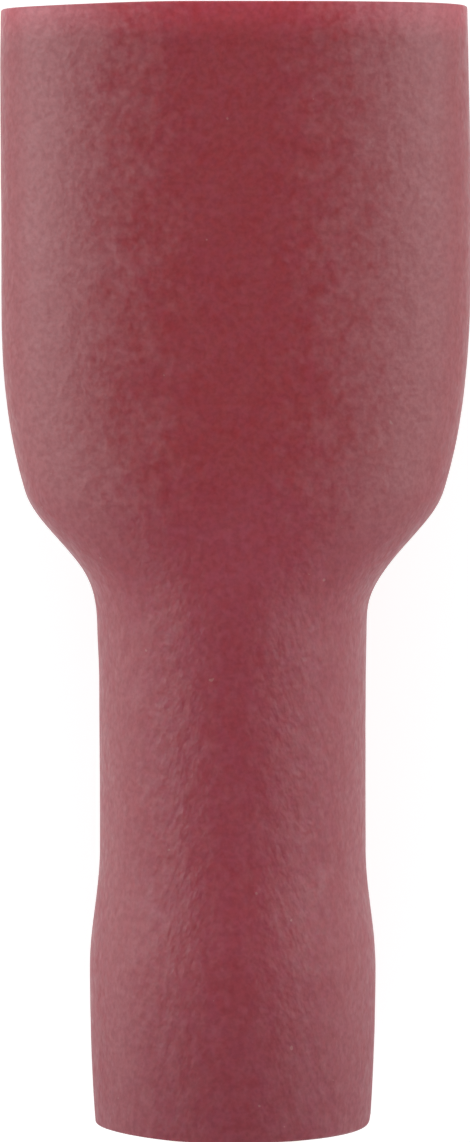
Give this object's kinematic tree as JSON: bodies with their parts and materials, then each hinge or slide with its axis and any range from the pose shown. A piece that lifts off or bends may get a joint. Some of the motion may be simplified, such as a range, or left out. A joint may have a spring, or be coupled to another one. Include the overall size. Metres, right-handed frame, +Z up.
{
  "type": "female spade terminal",
  "caption": "Fully insulated female spade terminal: a flat vinyl sleeve over a rolled receptacle for a flat tab, narrowing to a round barrel for a thin wire.",
  "frame": {"origin": "under the middle of the terminal, on the surface that it lies on with its broad side down", "axes": "+Y along the wire axis, towards the mouth that takes the tab; +X across the broad side; +Z up from the surface, on the side where the receptacle's edges are rolled over"},
  "size_m": [0.009, 0.0214, 0.0055],
  "materials": {
    "vinyl": "satin",
    "tinned_brass": "satin",
    "copper": "satin"
  },
  "bodies": {
    "root": {"insulating_sleeve": "vinyl", "spade_receptacle": "tinned_brass", "insulation_ferrule": "copper"}
  },
  "joints": []
}
